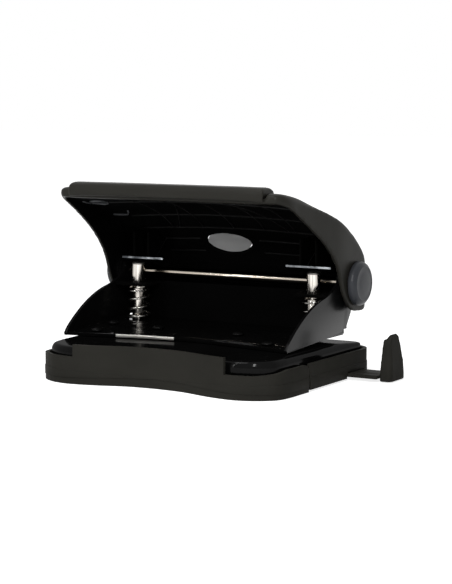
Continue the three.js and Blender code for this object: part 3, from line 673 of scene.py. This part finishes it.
def roof_bead(name, spots, bead, material):
    """A low rounded bead on the inner skin, along the spots."""
    half_width, height = bead
    found = [under_roof(x * MM, slant) for x, slant in spots]
    rings = []
    for i, (place, normal) in enumerate(found):
        before = found[max(i - 1, 0)][0]
        after = found[min(i + 1, len(found) - 1)][0]
        side = (after - before).cross(normal).normalized() * half_width
        rings.append([place + side * a + normal * height * b for a, b in BEAD_OUTLINE])
    piece = link(bpy.data.objects.new(name, tube(name, rings)))
    finished(piece, "handle", "handle_plastic", material)


def long_rib(slant, first, last):
    """Spots at even steps from the first x to the last."""
    return [(first + (last - first) * k / LONG_RIB_STEPS, slant) for k in range(LONG_RIB_STEPS + 1)]


def slanted_rib(side):
    """Spots that go outwards and to the rear, on the side that is -1 or 1."""
    return [(side * (SLANTED_RIB_START[0] + SLANTED_RIB_STEP[0] * k),
             SLANTED_RIB_START[1] + SLANTED_RIB_STEP[1] * k) for k in range(SLANTED_RIB_SPOTS)]


def ring_spots():
    """Spots all the way round the ring, with the first one again at the end."""
    turns = [math.radians(degrees) for degrees in range(0, 361, RING_STEP)]
    return [(RING_MIDDLE[0] + RING_REACH[0] * math.cos(turn),
             RING_MIDDLE[1] + RING_REACH[1] * math.sin(turn)) for turn in turns]


def inner_mouldings():
    """The ribs, the ring, the small bar and the hook moulded on the underside of the handle's roof."""
    for i, row in enumerate(LONG_RIBS, start=1):
        roof_bead(f"roof_rib_long_{i}", long_rib(*row), LONG_BEAD, RIBS)
    for i, x in enumerate(SHORT_RIBS_X, start=1):
        spots = [(x, slant) for slant in SHORT_RIB_SLANTS]
        roof_bead(f"roof_rib_short_{i}", spots, SHORT_BEAD, RIBS)
    for i, side in enumerate((-1, 1), start=1):
        roof_bead(f"roof_rib_slanted_{i}", slanted_rib(side), SLANTED_BEAD, RIBS)
    roof_bead("roof_ring", ring_spots(), RING_BEAD, PALE_MARK)
    roof_bead("roof_bar", BAR, BAR_BEAD, PALE_MARK)
    roof_bead("roof_hook", HOOK, HOOK_BEAD, PALE_MARK)


inner_mouldings()


# ---------------------------------------------------------------- stage, light and camera


FLOOR_HALF_SIZE = 3
FLOOR_GLOW = 0.8


def seen_or_mirrored(nodes, links, otherwise, level):
    """level for camera, glossy and transmission rays, and otherwise for the rest."""
    path = nodes.new("ShaderNodeLightPath")
    total = path.outputs["Is Camera Ray"]
    for ray in ("Is Glossy Ray", "Is Transmission Ray"):
        larger = nodes.new("ShaderNodeMath")
        larger.operation = "MAXIMUM"
        links.new(total, larger.inputs[0])
        links.new(path.outputs[ray], larger.inputs[1])
        total = larger.outputs["Value"]
    mapped = nodes.new("ShaderNodeMapRange")
    links.new(total, mapped.inputs["Value"])
    mapped.inputs["To Min"].default_value = otherwise
    mapped.inputs["To Max"].default_value = level
    return mapped.outputs["Result"]


def stage_floor():
    """A pale table: white to the camera and in reflections, with the object's shadow kept."""
    mesh = bpy.data.meshes.new("floor")
    edit = bmesh.new()
    bmesh.ops.create_grid(edit, x_segments=1, y_segments=1, size=FLOOR_HALF_SIZE)
    edit.to_mesh(mesh)
    edit.free()
    floor = link(bpy.data.objects.new("floor", mesh))
    made, nodes, links, shader = new_material("floor")
    shader.inputs["Base Color"].default_value = (0.85, 0.85, 0.85, 1)
    shader.inputs["Roughness"].default_value = 0.9
    shader.inputs["Specular IOR Level"].default_value = 0
    shader.inputs["Emission Color"].default_value = (1, 1, 1, 1)
    links.new(seen_or_mirrored(nodes, links, 0, FLOOR_GLOW), shader.inputs["Emission Strength"])
    mesh.materials.append(made)


def world_light(strength):
    """An even sky of this strength, which is white to the camera and in reflections."""
    world = bpy.data.worlds.new("studio")
    bpy.context.scene.world = world
    world.use_nodes = True
    nodes, links = world.node_tree.nodes, world.node_tree.links
    background = nodes["Background"]
    background.inputs["Color"].default_value = (1, 1, 1, 1)
    links.new(seen_or_mirrored(nodes, links, strength, 1), background.inputs["Strength"])


def sun_light(direction, strength, softness):
    """A sun as wide as softness, in degrees."""
    lamp = bpy.data.lights.new("sky", "SUN")
    lamp.energy = strength
    lamp.angle = math.radians(softness)
    obj = link(bpy.data.objects.new("sky", lamp))
    obj.rotation_euler = Vector(direction).to_track_quat("-Z", "Y").to_euler()


def area_light(name, place, target, size, power):
    """A rectangular lamp at the place, turned to the target."""
    lamp = bpy.data.lights.new(name, "AREA")
    lamp.shape = "RECTANGLE"
    lamp.size, lamp.size_y = size
    lamp.energy = power
    obj = link(bpy.data.objects.new(name, lamp))
    obj.location = place
    obj.rotation_euler = (Vector(target) - Vector(place)).to_track_quat("-Z", "Y").to_euler()


def add_camera(place, tilt, heading, focal_length):
    """The scene's camera: tilt is up from straight down, heading is to the left of +Y, in degrees."""
    lens = bpy.data.cameras.new("camera")
    lens.lens = focal_length
    lens.sensor_width = 36
    obj = link(bpy.data.objects.new("camera", lens))
    obj.location = place
    obj.rotation_euler = (math.radians(tilt), 0, math.radians(heading))
    bpy.context.scene.camera = obj


stage_floor()
world_light(0.1)
sun_light(direction=(0.3, 0.4, -1), strength=1.0, softness=25)
area_light("left_strip", place=(-0.355, -0.73, 0.5), target=(0.036, -0.032, 0.02),
           size=(0.014, 1.0), power=1.8)
area_light("front_strip", place=(0.22, -0.43, 0.32), target=(0.04, -0.03, 0.02),
           size=(0.05, 0.3), power=1.7)
add_camera(place=(0.3605, -0.6116, 0.1116), tilt=83.52, heading=30.45, focal_length=111.8)
bpy.context.scene.view_settings.view_transform = "Standard"
